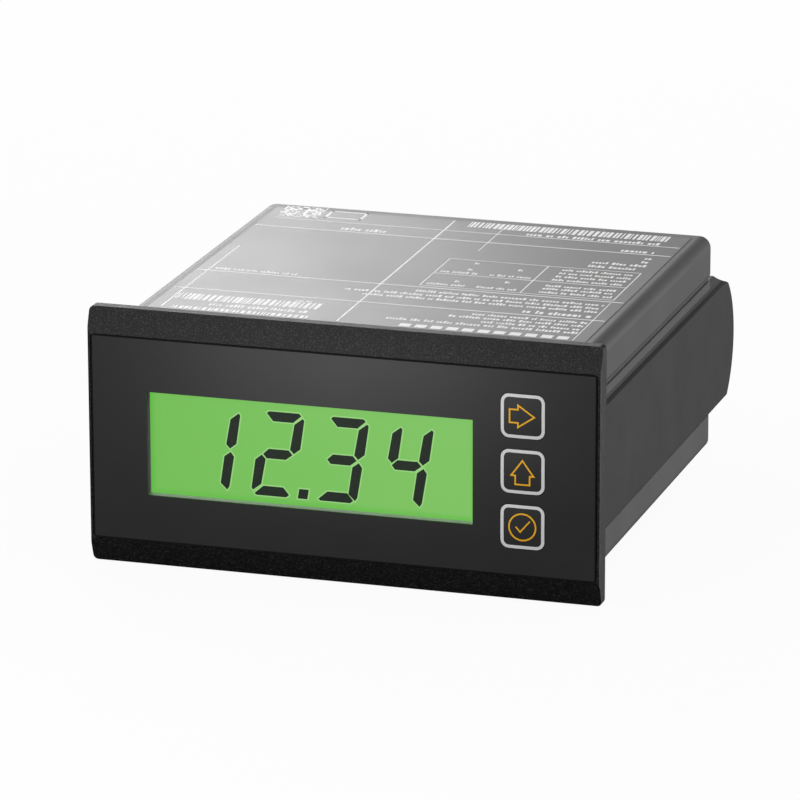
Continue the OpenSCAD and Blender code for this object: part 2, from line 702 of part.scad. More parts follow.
label_front = 0.6;
label_rear = 2.6;
module housing_label() color("#9a9c9e")
    translate([label_side - body_w / 2, collar_len + label_front, body_h / 2])
        cube([body_w - 2 * label_side, body_len - collar_len - label_front - label_rear, label_t]);

module rear_cover() color("#3a3c3e") difference() {
    along_y(cover_y, body_len) difference() {
        cavity_outline(cover_gap);
        translate([terminal_x, terminal_z]) square([plug_w + 0.4, socket_h + 0.4], center = true);
        translate([dip_x, dip_z]) square([dip_w + 0.6, dip_h + 0.6], center = true);
    }
    for (sx = [-1, 1], sz = [-1, 1])
        disc_y(sx * rear_boss_x, sz * rear_boss_z, cover_y - 1, body_len + 1, rear_screw_d + 0.6);
}

module rear_screws() color("silver") for (sx = [-1, 1], sz = [-1, 1])
    pan_screw(sx * rear_boss_x, sz * rear_boss_z, body_len, cover_t + rear_hold - 0.4,
        rear_screw_d, rear_screw_head_d);

// ---- Terminals ----

function pole_x(i) = terminal_x + (i - (pole_count - 1) / 2) * pole_pitch;

module terminal_socket() color("#2d6b3c") {
    along_y(socket_y, body_len) translate([terminal_x, terminal_z]) difference() {
        square([plug_w, socket_h], center = true);
        square([plug_w - 2 * socket_wall, socket_h - 2 * socket_wall], center = true);
    }
    translate([terminal_x, 0, terminal_z]) along_y(socket_y, socket_y + 2.4)
        square([plug_w - eps, socket_h - eps], center = true);
    for (i = [0:pole_count - 1]) {
        translate([pole_x(i), 0, terminal_z]) along_y(socket_y + 2, socket_y + 10)
            square([1, 1], center = true);
        translate([pole_x(i), socket_y + 1.6, 0]) along_z(main_board_z - board_t / 2 - 1, terminal_z)
            square([0.9, 0.9], center = true);
    }
}

module terminal_plug() color("#2d6b3c") difference() {
    union() {
        translate([terminal_x, 0, terminal_z]) {
            along_y(plug_y, plug_y + plug_d) square([plug_w, plug_h], center = true);
            // Nose inside the socket's shroud
            along_y(socket_y + 2.8, plug_y + eps)
                square([plug_w - 2 * socket_wall - 0.3, socket_h - 2 * socket_wall - 0.3], center = true);
        }
    }
    for (i = [0:pole_count - 1]) translate([pole_x(i), 0, 0]) {
        // Slot for the socket's pin
        translate([0, 0, terminal_z]) along_y(socket_y, plug_y + 2) square([1.6, 1.6], center = true);
        // Chamber in which the wire cage rises
        translate([-cage_w / 2 - 0.1, cage_y - cage_d / 2 - 0.1, cage_z - 0.1])
            cube([cage_w + 0.2, cage_d + 0.2, cage_h + cage_travel + 0.3]);
        // Screw's neck and head recess from the top
        translate([0, cage_y, cage_z]) cylinder(h = plug_h, d = screw_d + 0.3);
        translate([0, cage_y, screw_head_z - 0.1]) cylinder(h = plug_h, d = screw_head_d + 0.2);
        // Round wire entry from the rear
        translate([0, 0, wire_z]) along_y(cage_y, plug_y + plug_d + 1) circle(d = wire_d);
    }
    // Chamfer along the upper rear edge
    along_x(terminal_x - plug_w, terminal_x + plug_w) polygon([
        [plug_y + plug_d - 1.5, terminal_z + plug_h / 2 + eps],
        [plug_y + plug_d + eps, terminal_z + plug_h / 2 + eps],
        [plug_y + plug_d + eps, terminal_z + plug_h / 2 - 2.5]
    ]);
}

wire_z = cage_z + cage_wall + 1.9;

module wire_cage(i) color("#c8b878") translate([pole_x(i), cage_y, cage_z]) difference() {
    translate([-cage_w / 2, -cage_d / 2, 0]) cube([cage_w, cage_d, cage_h]);
    // Open from front to rear for the wire
    translate([-cage_w / 2 + 0.6, -cage_d, cage_wall])
        cube([cage_w - 1.2, 2 * cage_d, cage_h - 2 * cage_wall - 0.4]);
    translate([0, 0, cage_h - 2]) cylinder(h = 4, d = screw_d + 0.1);
}

module terminal_screw(i) color("silver") translate([pole_x(i), cage_y, 0]) difference() {
    union() {
        translate([0, 0, screw_tip_z]) cylinder(h = screw_head_z - screw_tip_z + eps, d = screw_d);
        translate([0, 0, screw_head_z]) cylinder(h = screw_head_h, d = screw_head_d);
    }
    translate([-screw_head_d, -0.3, screw_head_z + screw_head_h - 0.7]) cube([2 * screw_head_d, 0.6, 2]);
}
screw_tip_z = cage_z + cage_h - cage_wall - 0.4 + 0.1;

module wire_cage_1() wire_cage(0);
module wire_cage_2() wire_cage(1);
module terminal_screw_1() terminal_screw(0);
module terminal_screw_2() terminal_screw(1);

// ---- DIP switch ----

dip_x = dip_side - body_w / 2;
dip_w = 7;
dip_h = 6;
dip_d = 8;
dip_pitch = 2.54;
dip_y = body_len - dip_d - 0.4;
dip_z = board_top_z + dip_h / 2;
slot_w = 1.4;
slot_h = dip_travel + 1.5;
slider_w = 1.2;
slider_h = 1.3;
function dip_pin_x(i) = dip_x + (i - 0.5) * dip_pitch;

module dip_switch() color("#a33025") difference() {
    union() {
        translate([dip_x - dip_w / 2, dip_y, board_top_z]) cube([dip_w, dip_d, dip_h]);
        for (i = [0, 1]) translate([dip_pin_x(i) - 0.25, dip_y + 0.75, main_board_z - board_t])
            cube([0.5, 0.5, board_t * 1.6]);
    }
    for (i = [0, 1]) translate([dip_pin_x(i) - slot_w / 2, dip_y + dip_d - 2.4, dip_z - slot_h / 2])
        cube([slot_w, 3, slot_h]);
}

module dip_slider(i) color("white")
    translate([dip_pin_x(i) - slider_w / 2, dip_y + dip_d - 2.3, dip_z - slot_h / 2 + 0.1]) {
        cube([slider_w, 3, slider_h - 0.1]);
    }

module dip_slider_1() dip_slider(0);
module dip_slider_2() dip_slider(1);

// ---- Panel clamps ----

clamp_y = gasket_t + panel_room;
clamp_end = body_len + clamp_overhang;
clamp_x = body_w / 2 - clamp_t;
grip_top_z = clamp_top_z - 0.5;
grip_chord = grip_top_z - clamp_bottom_z;
grip_r = (pow(grip_chord / 2, 2) + pow(grip_bulge, 2)) / (2 * grip_bulge);
grip_mid_z = clamp_bottom_z + grip_chord / 2;
grip_y = clamp_end - grip_bulge;
tongue_end = body_len + tongue_overhang;

// Clamp seen from the side: the tongues end behind the housing, the upper one
// on a long chamfer, and the round thumb grip closes the plate.
module clamp_side_outline() {
    polygon([
        [clamp_y, tongue_bottom_z], [body_len + 8, tongue_bottom_z], [body_len + 10, clamp_bottom_z],
        [grip_y, clamp_bottom_z], [grip_y, grip_top_z], [tongue_end, tongue_top_z], [clamp_y, tongue_top_z]
    ]);
    intersection() {
        translate([clamp_end - grip_r, grip_mid_z]) circle(grip_r, $fn = 96);
        translate([grip_y - 1, clamp_bottom_z]) square([grip_bulge + 2, grip_chord]);
    }
}

// Clamp seen from the front: a plate whose upper edge hollows back under the
// housing's lip, and thin tongues that run in the undercuts.
tongue_x = clamp_x + tongue_t;
step_x = body_w / 2 - tongue_x;
module clamp_section() polygon([
    [clamp_x, tongue_bottom_z], [tongue_x, tongue_bottom_z], [tongue_x, clamp_bottom_z],
    [body_w / 2, clamp_bottom_z], [body_w / 2, clamp_top_z], [tongue_x + 0.7 * step_x, clamp_top_z + 0.25],
    [tongue_x + 0.35 * step_x, clamp_top_z + 0.5], [tongue_x + 0.1 * step_x, clamp_top_z + 1.1],
    [tongue_x, clamp_top_z + 1.75], [tongue_x, tongue_top_z], [clamp_x, tongue_top_z]
]);

pawl_y = rack_y + 0.4;
module clamp() {
    intersection() {
        along_x(clamp_x, body_w / 2) clamp_side_outline();
        along_y(clamp_y, clamp_end) clamp_section();
    }
    // Foot that bears on the panel, with two gussets
    translate([clamp_x, clamp_y, clamp_bottom_z])
        cube([clamp_t + foot_reach, foot_t, clamp_top_z - clamp_bottom_z]);
    for (z = [clamp_bottom_z + 4, clamp_top_z - 5.2]) along_z(z, z + 1.2) polygon([
        [body_w / 2 - eps, clamp_y], [body_w / 2 + foot_reach - 0.6, clamp_y],
        [body_w / 2 + foot_reach - 0.6, clamp_y + foot_t], [body_w / 2 - eps, clamp_y + foot_t + 3.4]
    ]);
    // Pawl: three low saw teeth over the rack
    along_z(clamp_mid_z - rack_w / 2 + 0.3, clamp_mid_z + rack_w / 2 - 0.3) polygon([
        [clamp_x + eps, pawl_y], for (i = [0:2]) each [
            [clamp_x - clamp_gap + 0.02, pawl_y + i * tooth_pitch],
            [clamp_x, pawl_y + (i + 1) * tooth_pitch - 0.1]
        ],
        [clamp_x + eps, pawl_y + 3 * tooth_pitch]
    ]);
}

module right_clamp() color("#2e3032") clamp();
module left_clamp() color("#2e3032") mirror([1, 0, 0]) clamp();

front_bezel();
front_overlay();
display_window();
window_tape();
panel_gasket();
key_right();
key_up();
key_enter();
plunger_right();
plunger_up();
plunger_enter();
lcd_glass();
lcd_segments();
lcd_frame();
zebra_strips();
light_guide();
backlight_leds();
display_board();
tact_switches();
board_screws();
board_link();
main_board();
microcontroller();
capacitors();
choke();
resistors();
housing();
housing_label();
rear_cover();
rear_screws();
terminal_socket();
terminal_plug();
wire_cage_1();
wire_cage_2();
terminal_screw_1();
terminal_screw_2();
dip_switch();
dip_slider_1();
dip_slider_2();
left_clamp();
right_clamp();
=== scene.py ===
"""Digital panel meter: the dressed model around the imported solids, in a plain studio."""

import math
import random

import bmesh
import bpy
from mathutils import Matrix, Vector


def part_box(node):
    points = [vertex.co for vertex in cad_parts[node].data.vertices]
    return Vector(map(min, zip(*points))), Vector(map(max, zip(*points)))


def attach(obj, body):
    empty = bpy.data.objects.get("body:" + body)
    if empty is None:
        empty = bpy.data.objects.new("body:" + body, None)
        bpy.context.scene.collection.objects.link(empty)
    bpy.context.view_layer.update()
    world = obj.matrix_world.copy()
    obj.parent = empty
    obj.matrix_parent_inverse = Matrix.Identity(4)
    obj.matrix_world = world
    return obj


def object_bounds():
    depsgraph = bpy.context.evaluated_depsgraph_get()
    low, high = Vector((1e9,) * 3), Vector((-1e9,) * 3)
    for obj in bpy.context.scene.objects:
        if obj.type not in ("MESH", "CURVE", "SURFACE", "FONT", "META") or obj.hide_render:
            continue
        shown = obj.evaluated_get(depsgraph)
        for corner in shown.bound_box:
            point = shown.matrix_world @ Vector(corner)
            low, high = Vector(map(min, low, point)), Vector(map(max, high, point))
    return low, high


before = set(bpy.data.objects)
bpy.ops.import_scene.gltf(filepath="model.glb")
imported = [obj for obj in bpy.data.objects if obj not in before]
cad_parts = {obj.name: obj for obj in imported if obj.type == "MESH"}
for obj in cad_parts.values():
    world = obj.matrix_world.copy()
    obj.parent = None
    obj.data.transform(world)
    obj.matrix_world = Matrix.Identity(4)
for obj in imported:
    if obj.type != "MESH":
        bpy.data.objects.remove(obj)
cad_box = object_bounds()

# ---- Front bezel ----
# A frame moulded in black ABS, spark-eroded to a fine grain that glints a little;
# its glints are partly painted as pale specks in its colour. Its collar passes
# through the panel and snaps over the housing's lugs.
MM = 0.001
# Width of the grain in millimetres, and the levels of the grain between which
# glints are painted as pale specks into the colour
FINE_GRAIN = 0.3
PAINTED_GLINT = (0.50, 0.72)


class Wire:
    """A socket of a node tree. Arithmetic on it adds Math nodes."""

    # A Mix node's sockets for colours share their names with those for numbers
    MIX_FACTOR, MIX_LOW, MIX_HIGH, MIX_COLOUR = 0, 6, 7, 2

    def __init__(self, tree, socket=None):
        self.tree = tree
        self.socket = socket

    def node(self, kind, inputs=(), out=0, **settings):
        """Any node: its settings first, then values or links by socket name or number."""
        made = self.tree.nodes.new("ShaderNode" + kind)
        for name, value in settings.items():
            setattr(made, name, value)
        for key, value in dict(inputs).items():
            if isinstance(value, Wire):
                self.tree.links.new(value.socket, made.inputs[key])
            else:
                made.inputs[key].default_value = value
        return Wire(self.tree, made.outputs[out])

    def math(self, operation, *values):
        return self.node("Math", dict(enumerate(values)), operation=operation)

    def __add__(self, other):
        return self.math("ADD", self, other)

    def __sub__(self, other):
        return self.math("SUBTRACT", self, other)

    def __rsub__(self, other):
        return self.math("SUBTRACT", other, self)

    def __mul__(self, other):
        return self.math("MULTIPLY", self, other)

    __radd__ = __add__
    __rmul__ = __mul__

    def least(self, other):
        return self.math("MINIMUM", self, other)

    def rise(self, start, end):
        """0 at start and 1 at end, straight between them and level beyond them."""
        return self.node("MapRange", {"Value": self, "From Min": start, "From Max": end})

    def mix(self, low, high):
        """Colour low where this is 0 and high where it is 1."""
        inputs = {self.MIX_FACTOR: self, self.MIX_LOW: low, self.MIX_HIGH: high}
        return self.node("Mix", inputs, out=self.MIX_COLOUR, data_type="RGBA")

    def place(self):
        """The point on the object, in metres."""
        return self.node("TexCoord", out="Object")

    def axis(self, letter):
        return self.node("SeparateXYZ", {"Vector": self.place()}, out=letter)

    def grain(self, size_mm, detail=2.0, rough=0.5):
        """Noise whose blotches are about size_mm wide, centred on 0.5."""
        inputs = {"Vector": self.place(), "Scale": 1 / MM / size_mm,
                  "Detail": detail, "Roughness": rough}
        return self.node("TexNoise", inputs)

    def bump(self, height, depth_mm, strength=1.0):
        inputs = {"Strength": strength, "Distance": depth_mm * MM, "Height": height}
        return self.node("Bump", inputs)


def finish(name, look, **constants):
    """A Principled material. look(wire) returns the sockets that vary over the surface."""
    made = bpy.data.materials.new(name)
    made.use_nodes = True
    tree = made.node_tree
    shader = tree.nodes["Principled BSDF"]
    for key, value in constants.items():
        shader.inputs[key.replace("_", " ")].default_value = value
    for key, value in look(Wire(tree)).items():
        tree.links.new(value.socket, shader.inputs[key])
    return made


def grey(level, warm=0.0):
    """A linear grey, warmer above 0 and cooler below it."""
    return (level * (1 + warm), level, level * (1 - warm), 1.0)


def paint(material, *nodes):
    """Gives CAD nodes their material in every slot."""
    for node in nodes:
        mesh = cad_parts[node].data
        if not mesh.materials:
            mesh.materials.append(material)
        for index in range(len(mesh.materials)):
            mesh.materials[index] = material


def bezel_look(wire):
    painted_glint = wire.grain(FINE_GRAIN, rough=0.6).rise(*PAINTED_GLINT)
    cloud = wire.grain(5.0)
    grain = wire.grain(FINE_GRAIN, detail=3.0, rough=0.6)
    return {
        # Painted glints: pale specks in the colour where the grain stands high
        "Base Color": painted_glint.mix(grey(0.001), grey(0.042)),
        "Roughness": 0.50 + 0.08 * cloud,
        "Normal": wire.bump(grain, depth_mm=0.12),
    }


paint(finish("bezel_abs", bezel_look, IOR=1.5), "front_bezel")


# ---- Front foil ----
# A satin polyester foil, charcoal, glued into the bezel's pocket. It leaves the
# display and the three keys open. Along its outer edge it is painted black,
# partly for its dark cut edge and partly as painted shade of the gap round it.
foil_low, foil_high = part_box("front_overlay")
EDGE_SHADE = 0.3 * MM
EDGE_SHADE_BLACK = 0.8 * EDGE_SHADE


def foil_look(wire):
    grain = wire.grain(FINE_GRAIN)
    cloud = wire.grain(12.0)
    x, z = wire.axis("X"), wire.axis("Z")
    inset_x = (x - foil_low.x).least(foil_high.x - x)
    inset_z = (z - foil_low.z).least(foil_high.z - z)
    # Painted shade: black along the foil's outer edge, partly its dark cut edge and partly the
    # shadow in the gap round it
    edge_shade = inset_x.least(inset_z).rise(EDGE_SHADE, EDGE_SHADE_BLACK)
    return {
        "Base Color": edge_shade.mix(cloud.mix(grey(0.020), grey(0.024)), grey(0.001)),
        "Roughness": 0.42 + 0.06 * cloud + 0.4 * edge_shade,
        "Normal": wire.bump(grain, depth_mm=0.008, strength=0.4),
    }


paint(finish("front_foil", foil_look), "front_overlay")


# ---- Panel gasket ----
# A flat ring of closed-cell foam behind the bezel, die-cut and self-adhesive.
# It seals the bezel against the panel.
def foam_look(wire):
    cells = wire.grain(0.4, detail=3.0)
    return {
        "Base Color": cells.mix(grey(0.01), grey(0.03)),
        "Roughness": 0.85 + 0.1 * cells,
        "Normal": wire.bump(cells, depth_mm=0.08),
    }


paint(finish("gasket_foam", foam_look), "panel_gasket")


# ---- Display window ----
# A clear, hard-coated sheet that fills the bezel's opening under the foil's
# edge. A pale adhesive ring behind its rim bonds it to the LCD cell. The ring's
# pale lilac colour is partly its own and partly painted glow, standing in for
# the backlight's light at the window's rim.
def window_look(wire):
    return {"Roughness": 0.05 + 0.03 * wire.grain(20.0)}


def tape_and_glow_look(wire):
    # Painted glow: a pale colour, partly the tape's own and partly standing in for the
    # backlight's light at the rim
    return {"Base Color": wire.grain(1.5).mix((0.50, 0.46, 0.50, 1), (0.58, 0.53, 0.58, 1))}


paint(finish("window_sheet", window_look, Alpha=0.04, Base_Color=grey(0.2)), "display_window")
paint(finish("adhesive_tape_and_glow", tape_and_glow_look, Roughness=0.6), "window_tape")


# ---- LCD cell ----
# A yellow-green backlit cell of two glass sheets. It glows almost evenly, a
# little paler to the right and deeper along its left, right and lower edges.
window_low, window_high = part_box("display_window")
TAPE = 1.15 * MM
RIM_OUT, RIM_IN = 0.3 * MM, 1.2 * MM
CELL_GLOW = 0.97
opening_x = (window_low.x + TAPE, window_high.x - TAPE)
opening_z = (window_low.z + TAPE, window_high.z - TAPE)


def cell_look(wire):
    x, z = wire.axis("X"), wire.axis("Z")
    left = x.rise(opening_x[0] - RIM_OUT, opening_x[0] + RIM_IN)
    right = x.rise(opening_x[1] + RIM_OUT, opening_x[1] - RIM_IN)
    foot = z.rise(opening_z[0] - RIM_OUT, opening_z[0] + RIM_IN)
    glow = x.rise(*opening_x).mix((0.178, 0.535, 0.095, 1), (0.22, 0.57, 0.128, 1))
    return {"Emission Color": left.least(foot).least(right).mix((0.11, 0.52, 0.05, 1), glow)}


paint(finish("lcd_cell", cell_look, Base_Color=(0.02, 0.05, 0.012, 1),
             Emission_Strength=CELL_GLOW, Roughness=0.3, Specular_IOR_Level=0.1), "lcd_glass")


# ---- LCD segments ----
# Liquid-crystal bars that show 12.34, with the point between the second and
# third digits. The cell shows a little paler round each bar.
def segment_look(wire):
    return {"Base Color": wire.grain(3.0).mix((0.016, 0.028, 0.017, 1), (0.022, 0.038, 0.023, 1))}


def halo_look(wire):
    return {"Emission Color": wire.grain(2.0).mix((0.30, 0.66, 0.20, 1), (0.35, 0.70, 0.24, 1))}


paint(finish("segment_dye", segment_look, Roughness=0.5, Specular_IOR_Level=0.1), "lcd_segments")
halo_glow = finish("halo_glow", halo_look, Base_Color=(0.03, 0.05, 0.02, 1),
                   Emission_Strength=CELL_GLOW, Specular_IOR_Level=0.1)
HALO = 0.24 * MM
HALO_FACE, HALO_BACK = 0.02 * MM, 0.005 * MM
# The bars' copy is merged within MERGE and its faces joined within FLAT radians.
# A face is a side if its normal's Y is under SIDE_Y. TIP keeps sharp tips short.
MERGE = 0.002 * MM
FLAT = 0.02
SIDE_Y = 0.5
TIP = 0.35


def piece(name, bm, body, material):
    """Turns a bmesh into an object that rides on a CAD body."""
    mesh = bpy.data.meshes.new(name)
    bm.to_mesh(mesh)
    bm.free()
    mesh.materials.append(material)
    made = bpy.data.objects.new(name, mesh)
    bpy.context.scene.collection.objects.link(made)
    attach(made, body)
    return made


cell_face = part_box("lcd_glass")[0].y
segment_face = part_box("lcd_segments")[0].y
halo = bmesh.new()
halo.from_mesh(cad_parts["lcd_segments"].data)
bmesh.ops.remove_doubles(halo, verts=halo.verts[:], dist=MERGE)
bmesh.ops.dissolve_limit(halo, angle_limit=FLAT, verts=halo.verts[:], edges=halo.edges[:])
for vert in halo.verts:
    sides = [face.normal for face in vert.link_faces if abs(face.normal.y) < SIDE_Y]
    away = sum(sides, Vector())
    reach = HALO / max(TIP, away.normalized().dot(sides[0]))
    vert.co += away.normalized() * reach
    in_front = vert.co.y < (cell_face + segment_face) / 2
    vert.co.y = cell_face - (HALO_FACE if in_front else HALO_BACK)
piece("lcd_halos", halo, "meter", halo_glow)


# ---- Keys ----
# Three square moulded keys with a slight crown, nearly of the foil's colour.
# Each has a pale printed border and an amber sign: an arrow to the right, an
# arrow up, and a ring with a tick.
def key_look(wire):
    cloud = wire.grain(3.0)
    return {
        "Base Color": cloud.mix(grey(0.023), grey(0.027)),
        "Roughness": 0.42 + 0.08 * cloud,
        "Normal": wire.bump(wire.grain(FINE_GRAIN), depth_mm=0.008, strength=0.4),
    }


def border_look(wire):
    return {"Base Color": wire.grain(1.0).mix(grey(0.76), grey(0.84))}


def amber_look(wire):
    return {"Base Color": wire.grain(1.0).mix((1.0, 0.46, 0.004, 1), (1.0, 0.54, 0.008, 1))}


key_plastic = finish("key_plastic", key_look)
border_ink = finish("border_ink", border_look, Roughness=0.5)
amber_ink = finish("amber_ink", amber_look, Roughness=0.5)
KEY_SIDE = 8.1 * MM
KEY_CORNER = 1.5 * MM
KEY_CROWN = 0.2 * MM
CROWN_REACH = 0.66 * KEY_SIDE
CROWN_R = (CROWN_REACH ** 2 + KEY_CROWN ** 2) / (2 * KEY_CROWN)
BORDER = 0.58 * MM
LINE = 0.29 * MM
INK = 0.02 * MM
RING_R = 2.6 * MM
# Cuts that let print follow the crown, in millimetres, shifted off its own edges
CUT_STEP, CUT_SHIFT, CUTS_EACH_WAY = 0.6, 0.05, 6


def flat_face(bm, points):
    """One flat face, from its corners (x, z) in millimetres."""
    bm.faces.new([bm.verts.new((x * MM, 0, z * MM)) for x, z in points])


def hollow(bm, width):
    """Keeps only a band of even width inside the edge of a face."""
    inner = bm.faces[:]
    bmesh.ops.inset_region(bm, faces=inner, thickness=width, use_even_offset=True,
                           use_boundary=True)
    bmesh.ops.delete(bm, geom=inner, context="FACES")


def on_crown(bm, key, body, name, material):
    """Lays flat print on a key's crowned face and gives it the ink's thickness."""
    low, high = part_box(key)
    for axis in ((1, 0, 0), (0, 0, 1)):
        for step in range(-CUTS_EACH_WAY, CUTS_EACH_WAY + 1):
            cut = Vector(axis) * (step * CUT_STEP + CUT_SHIFT) * MM
            bmesh.ops.bisect_plane(bm, geom=bm.verts[:] + bm.edges[:] + bm.faces[:],
                                   dist=0.001 * MM, plane_co=cut, plane_no=axis)
    for vert in bm.verts:
        vert.co.y = low.y + (vert.co.x ** 2 + vert.co.z ** 2) / (2 * CROWN_R)
    bmesh.ops.recalc_face_normals(bm, faces=bm.faces[:])
    grown = bmesh.ops.extrude_face_region(bm, geom=bm.faces[:])
    front = [item for item in grown["geom"] if isinstance(item, bmesh.types.BMVert)]
    bmesh.ops.translate(bm, verts=front, vec=(0, -INK, 0))
    bmesh.ops.recalc_face_normals(bm, faces=bm.faces[:])
    middle = ((low.x + high.x) / 2, 0, (low.z + high.z) / 2)
    bmesh.ops.translate(bm, verts=bm.verts[:], vec=middle)
    piece(name, bm, body, material)


def arrow_sign(tail, shoulder, tip, shaft, head, upward):
    """A block arrow's outline, from places along it and half widths in millimetres."""
    points = [(tail, -shaft), (shoulder, -shaft), (shoulder, -head), (tip, 0),
              (shoulder, head), (shoulder, shaft), (tail, shaft)]
    made = bmesh.new()
    flat_face(made, [(-z, x) for x, z in points] if upward else points)
    made.normal_update()
    hollow(made, LINE)
    return made


def ring_sign():
    made = bmesh.new()
    bmesh.ops.create_circle(made, cap_ends=True, segments=40, radius=RING_R,
                            matrix=Matrix.Rotation(math.pi / 2, 4, "X"))
    hollow(made, LINE)
    flat_face(made, [(-1.3, -0.05), (-0.4, -1.1), (1.5, 1.1),
                     (1.3, 1.27), (-0.4, -0.7), (-1.1, 0.12)])
    return made


for key, body, sign in (
    ("key_right", "right_key", arrow_sign(-2.55, -1.0, 2.4, 1.36, 2.3, upward=False)),
    ("key_up", "up_key", arrow_sign(-2.5, -0.85, 2.35, 1.47, 2.35, upward=True)),
    ("key_enter", "enter_key", ring_sign()),
):
    paint(key_plastic, key)
    border = bmesh.new()
    bmesh.ops.create_grid(border, x_segments=1, y_segments=1, size=KEY_SIDE / 2,
                          matrix=Matrix.Rotation(math.pi / 2, 4, "X"))
    bmesh.ops.bevel(border, geom=border.verts[:], offset=KEY_CORNER, offset_type="OFFSET",
                    affect="VERTICES", segments=6, profile=0.5, material=-1)
    hollow(border, BORDER)
    on_crown(border, key, body, key + "_border", border_ink)
    on_crown(sign, key, body, key + "_sign", amber_ink)


# ---- Housing ----
# One deep sleeve moulded in charcoal ABS with a very fine grain. Its side lips
# guide the clamps, and its rear is closed by a screwed cover.
def housing_look(wire):
    grain = wire.grain(FINE_GRAIN, detail=3.0, rough=0.6)
    cloud = wire.grain(14.0)
    return {
        "Base Color": cloud.mix(grey(0.066), grey(0.074)),
        "Roughness": 0.42 + 0.08 * cloud,
        "Normal": wire.bump(grain, depth_mm=0.02, strength=0.5),
    }


paint(finish("housing_abs", housing_look), "housing", "rear_cover")


# ---- Rating label ----
# A grey polyester label on the housing's top, with its rules, table, bars and
# rows of small marks printed white. The print is fields and bars only.
def label_look(wire):
    cloud = wire.grain(25.0)
    return {
        "Base Color": cloud.mix(grey(0.082), grey(0.096)),
        "Roughness": 0.36 + 0.08 * cloud,
        "Normal": wire.bump(wire.grain(1.2), depth_mm=0.004, strength=0.3),
    }


def white_look(wire):
    return {"Base Color": wire.grain(2.0).mix(grey(0.8), grey(0.9))}


paint(finish("label_film", label_look), "housing_label")
white_ink = finish("white_ink", white_look, Roughness=0.45)
label_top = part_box("housing_label")[1].z
label_print = bmesh.new()
# The print's places and sizes are in millimetres, and only INK is in metres
RULE = 0.34


def bar(x0, x1, y0, y1, ink=INK):
    """One printed field on the label, at its place in the part's frame."""
    size = Vector(((x1 - x0) * MM, (y1 - y0) * MM, ink))
    middle = Vector(((x0 + x1) / 2 * MM, (y0 + y1) / 2 * MM, label_top + ink / 2))
    place = Matrix.Translation(middle) @ Matrix.Diagonal(size.to_4d())
    bmesh.ops.create_cube(label_print, size=1.0, matrix=place)


def rule_across(y, x0, x1, width=RULE):
    bar(x0, x1, y - width / 2, y + width / 2)


def rule_along(x, y0, y1, width=RULE):
    """Thinner ink than the rules it crosses, so that their tops don't coincide."""
    bar(x - width / 2, x + width / 2, y0, y1, 0.7 * INK)


# Blocks in a group, then their widths, heights and gaps as shares of the row's
# height. No group begins nearer than ROW_END to the end of its row.
GROUP = (2, 7)
BLOCK_WIDTH, BLOCK_HEIGHTS = (0.2, 0.45), (0.7, 0.7, 1.0)
BLOCK_GAP, GROUP_GAP = 0.15, 0.4
ROW_END = 0.4


def marks(x0, x1, y, height, seed):
    """A row of small blocks in groups, like a line of small type seen from afar."""
    draw = random.Random(seed)
    x = x0
    while x < x1 - ROW_END:
        for _ in range(draw.randint(*GROUP)):
            wide = height * draw.uniform(*BLOCK_WIDTH)
            if x + wide > x1:
                return
            tall = height * draw.choice(BLOCK_HEIGHTS)
            bar(x, x + wide, y - height / 2, y - height / 2 + tall)
            x += wide + height * BLOCK_GAP
        x += height * GROUP_GAP


BAR_WIDTHS, BAR_GAPS, STRIP_END = (0.24, 0.45, 0.7), (0.24, 0.45), 0.3


def bars(x0, x1, y0, y1, seed):
    """A strip of upright bars of three widths."""
    draw = random.Random(seed)
    x = x0
    while x < x1 - STRIP_END:
        wide = draw.choice(BAR_WIDTHS)
        bar(x, min(x + wide, x1), y0, y1)
        x += wide + draw.choice(BAR_GAPS)


for y in (24.2, 37.0, 70.9):
    rule_across(y, -41.0, 41.0)
rule_across(77.3, -39.5, 41.0, 0.28)
for x, y0, y1, width in ((-39.0, 11.2, 55.5, 0.25), (-5.3, 10.5, 84.7, 0.32),
                         (5.3, 64.5, 84.7, 0.16), (38.8, 10.5, 36.2, 0.16)):
    rule_along(x, y0, y1, width)
# Table: its frame, then the rows of marks in its cells
TABLE_X, TABLE_Y = (1.8, 38.8), (38.3, 57.8)
for y in TABLE_Y:
    rule_across(y, *TABLE_X, 0.2)
rule_across(47.2, *TABLE_X, 0.25)
for x in (TABLE_X[0], 21.0, TABLE_X[1]):
    rule_along(x, *TABLE_Y, 0.2)
for row, y in enumerate((40.1, 42.5, 44.6, 48.9, 51.3, 53.6, 56.0)):
    marks(24.2, 38.0, y, 1.25, 10 + row)
for row, y in enumerate((40.0, 48.8)):
    marks(2.7, 10.6, y, 1.2, 20 + row)
    marks(12.2, 20.2, y, 1.2, 30 + row)
for x, y in ((7.3, 42.6), (16.4, 44.6), (7.3, 51.2), (16.4, 53.4), (7.3, 55.8)):
    marks(x, x + 0.9, y, 1.2, 40)
# Strips of bars at the rear right and the front left, then fields at the front
bars(-1.8, 38.0, 81.0, 84.8, 1)
bars(-38.6, -10.9, 16.8, 20.7, 2)
bars(-37.0, -10.9, 10.6, 12.3, 3)
FIELD_LEFT, FIELD_RIGHT, FIELD_PITCH = 6.2, 8.3, 2.95
for step in range(11):
    bar(FIELD_LEFT + FIELD_PITCH * step, FIELD_RIGHT + FIELD_PITCH * step, 10.6, 12.5)
# Pattern of square blocks at the rear left, with an open frame beside it
draw = random.Random(5)
SQUARE, SHARE_FILLED = 0.42, 0.58
for column in range(20):
    for row in range(18):
        if draw.random() < SHARE_FILLED:
            x, y = -39.6 + SQUARE * column, 78.8 + SQUARE * row
            bar(x, x + SQUARE, y, y + SQUARE)
for x0, x1 in ((-30.2, -29.7), (-23.2, -22.7)):
    bar(x0, x1, 79.8, 85.0)
for y in (79.8, 84.5):
    bar(-30.2, -22.7, y, y + 0.5)
